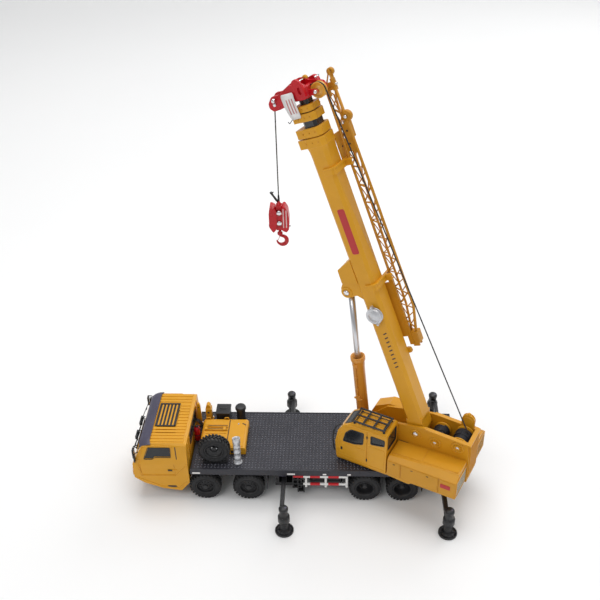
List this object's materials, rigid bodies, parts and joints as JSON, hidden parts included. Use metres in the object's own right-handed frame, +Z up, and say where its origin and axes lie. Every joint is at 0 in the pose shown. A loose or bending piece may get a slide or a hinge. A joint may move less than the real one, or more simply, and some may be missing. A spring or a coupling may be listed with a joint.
{
  "type": "toy crane truck",
  "caption": "Die-cast style toy mobile crane: four-axle truck with outriggers, slewing upper with cab and winches, luffing telescopic boom, side-stowed lattice jib and hook.",
  "frame": {"origin": "on the ground plane, under the middle of the model's bounding box", "axes": "+X towards the truck's rear, +Y towards its offside, +Z up"},
  "size_m": [0.223, 0.1158, 0.2633],
  "materials": {
    "yellow": "satin enamel",
    "yellow_deep": "satin enamel",
    "black": "matte",
    "dark_metal": "matt enamel",
    "tyre": "matte",
    "red": "gloss enamel",
    "silver": "polished",
    "white": "gloss",
    "glass": "tinted",
    "rope": "braided cord",
    "grey": "matte"
  },
  "bodies": {
    "chassis": {"chassis_frame": "dark_metal", "deck": "dark_metal", "carrier_cab": "yellow", "cab_glass": "glass", "cab_visor": "grey", "cab_trim": "black", "lamps": "white", "engine_hood": "yellow", "exhaust_stack": "silver", "spare_tyre": "tyre", "spare_rim": "black", "extinguisher": "red", "rest_posts": "yellow", "deck_units": "black", "mudguards": "black", "side_guards": "white", "outrigger_boxes": "black", "slew_ring": "black"},
    "wheelset_1": {"axle_1": "black", "tyres_1": "tyre"},
    "wheelset_2": {"axle_2": "black", "tyres_2": "tyre"},
    "wheelset_3": {"axle_3": "black", "tyres_3": "tyre"},
    "wheelset_4": {"axle_4": "black", "tyres_4": "tyre"},
    "outrigger_fn": {"beam_front_near": "black"},
    "jack_fn": {"leg_front_near": "black"},
    "outrigger_ff": {"beam_front_far": "black"},
    "jack_ff": {"leg_front_far": "black"},
    "outrigger_rn": {"beam_rear_near": "black"},
    "jack_rn": {"leg_rear_near": "black"},
    "outrigger_rf": {"beam_rear_far": "black"},
    "jack_rf": {"leg_rear_far": "black"},
    "upper": {"turntable": "yellow_deep", "operator_cab": "yellow", "operator_glass": "glass", "cab_rails": "black", "side_covers": "yellow_deep", "rear_grille": "black", "counterweight": "dark_metal", "pivot_pins": "silver", "hoist_rope": "rope"},
    "drum_main": {"main_drum": "yellow"},
    "drum_aux": {"aux_drum": "yellow"},
    "boom_1": {"boom_base": "yellow", "cable_reel": "silver"},
    "boom_2": {"boom_section_2": "yellow"},
    "boom_3": {"boom_section_3": "black"},
    "boom_4": {"boom_section_4": "yellow"},
    "boom_5": {"boom_section_5": "black", "boom_head": "red"},
    "sheave_head": {"head_sheave": "yellow"},
    "sheave_nose": {"nose_sheave": "yellow"},
    "lift_tube": {"lift_barrel": "yellow"},
    "lift_piston": {"lift_rod": "silver"},
    "fly_jib": {"jib": "yellow"},
    "fall": {"fall_rope": "rope"},
    "block": {"hook_block": "red"},
    "hook_body": {"hook": "red"}
  },
  "joints": [
    {"name": "wheel_spin_1", "type": "hinge", "parent": "chassis", "child": "wheelset_1", "pos_m": [-0.06583, 0, 0.0102], "axis": [0, 1, 0], "continuous": true},
    {"name": "wheel_spin_2", "type": "hinge", "parent": "chassis", "child": "wheelset_2", "pos_m": [-0.03803, 0, 0.0102], "axis": [0, 1, 0], "continuous": true},
    {"name": "wheel_spin_3", "type": "hinge", "parent": "chassis", "child": "wheelset_3", "pos_m": [0.03562, 0, 0.0102], "axis": [0, 1, 0], "continuous": true},
    {"name": "wheel_spin_4", "type": "hinge", "parent": "chassis", "child": "wheelset_4", "pos_m": [0.05921, 0, 0.0102], "axis": [0, 1, 0], "continuous": true},
    {"name": "beam_fn_slide", "type": "slide", "parent": "chassis", "child": "outrigger_fn", "axis": [0, 1, 0], "range_m": [0, 0.0236]},
    {"name": "jack_fn_lift", "type": "slide", "parent": "outrigger_fn", "child": "jack_fn", "axis": [0, 0, 1], "range_m": [0, 0.0072]},
    {"name": "beam_ff_slide", "type": "slide", "parent": "chassis", "child": "outrigger_ff", "axis": [0, -1, 0], "range_m": [0, 0.0236]},
    {"name": "jack_ff_lift", "type": "slide", "parent": "outrigger_ff", "child": "jack_ff", "axis": [0, 0, 1], "range_m": [0, 0.0072]},
    {"name": "beam_rn_slide", "type": "slide", "parent": "chassis", "child": "outrigger_rn", "axis": [0, 1, 0], "range_m": [0, 0.0236]},
    {"name": "jack_rn_lift", "type": "slide", "parent": "outrigger_rn", "child": "jack_rn", "axis": [0, 0, 1], "range_m": [0, 0.0072]},
    {"name": "beam_rf_slide", "type": "slide", "parent": "chassis", "child": "outrigger_rf", "axis": [0, -1, 0], "range_m": [0, 0.0236]},
    {"name": "jack_rf_lift", "type": "slide", "parent": "outrigger_rf", "child": "jack_rf", "axis": [0, 0, 1], "range_m": [0, 0.0072]},
    {"name": "slew", "type": "hinge", "parent": "chassis", "child": "upper", "pos_m": [0.04367, 0, 0.026], "axis": [0, 0, 1], "continuous": true},
    {"name": "main_drum_spin", "type": "hinge", "parent": "upper", "child": "drum_main", "pos_m": [0.09357, -0.0252, 0.0513], "axis": [-0.4509, -0.8926, 0], "range_deg": [-270, 1080]},
    {"name": "aux_drum_spin", "type": "hinge", "parent": "upper", "child": "drum_aux", "pos_m": [0.08089, -0.0188, 0.0493], "axis": [-0.4509, -0.8926, 0], "continuous": true},
    {"name": "boom_luff", "type": "hinge", "parent": "upper", "child": "boom_1", "pos_m": [0.06956, -0.01307, 0.0512], "axis": [0.4509, 0.8926, 0], "range_deg": [-67.35, 9.65], "deforming": ["hoist_rope"]},
    {"name": "lift_tilt", "type": "hinge", "parent": "upper", "child": "lift_tube", "pos_m": [0.03599, 0.00388, 0.033], "axis": [0.4509, 0.8926, 0], "range_deg": [-78.5, 11.8]},
    {"name": "lift_stroke", "type": "slide", "parent": "lift_tube", "child": "lift_piston", "axis": [-0.0956, 0.0483, 0.9942], "range_m": [-0.0443, 0.0067]},
    {"name": "telescope_2", "type": "slide", "parent": "boom_1", "child": "boom_2", "axis": [-0.3293, 0.1663, 0.9295], "range_m": [0, 0.13]},
    {"name": "telescope_3", "type": "slide", "parent": "boom_2", "child": "boom_3", "axis": [-0.3293, 0.1663, 0.9295], "range_m": [0, 0.13]},
    {"name": "telescope_4", "type": "slide", "parent": "boom_3", "child": "boom_4", "axis": [-0.3293, 0.1663, 0.9295], "range_m": [0, 0.13]},
    {"name": "telescope_5", "type": "slide", "parent": "boom_4", "child": "boom_5", "axis": [-0.3293, 0.1663, 0.9295], "range_m": [0, 0.13]},
    {"name": "head_sheave_spin", "type": "hinge", "parent": "boom_5", "child": "sheave_head", "pos_m": [0.00837, 0.01783, 0.2537], "axis": [-0.4509, -0.8926, 0], "range_deg": [-480, 1900]},
    {"name": "nose_sheave_spin", "type": "hinge", "parent": "boom_5", "child": "sheave_nose", "pos_m": [-0.01337, 0.02881, 0.24295], "axis": [-0.4509, -0.8926, 0], "range_deg": [-480, 1900]},
    {"name": "jib_swing", "type": "hinge", "parent": "boom_5", "child": "fly_jib", "pos_m": [0.01374, 0.02565, 0.25323], "axis": [0.8296, -0.4191, 0.3689], "range_deg": [0, 175]},
    {"name": "hook_hang", "type": "hinge", "parent": "boom_5", "child": "fall", "pos_m": [-0.01337, 0.02881, 0.24295], "axis": [0.4509, 0.8926, 0], "range_deg": [-9.7, 67.4]},
    {"name": "hoist", "type": "slide", "parent": "fall", "child": "block", "axis": [0, 0, -1], "range_m": [-0.0216, 0.0865], "deforming": ["fall_rope"]},
    {"name": "hook_swivel", "type": "hinge", "parent": "block", "child": "hook_body", "pos_m": [-0.01587, 0.03007, 0.165], "axis": [0, 0, 1], "continuous": true}
  ],
  "couplings": [
    {"joint": "lift_tilt", "follows": "boom_luff", "ratio": 1.156},
    {"joint": "lift_stroke", "follows": "boom_luff", "m_per_rad": 0.037363},
    {"joint": "hook_hang", "follows": "boom_luff", "ratio": -1},
    {"joint": "main_drum_spin", "follows": "hoist", "rad_per_m": 217.39},
    {"joint": "head_sheave_spin", "follows": "hoist", "rad_per_m": 333.33},
    {"joint": "nose_sheave_spin", "follows": "hoist", "rad_per_m": 357.14}
  ]
}
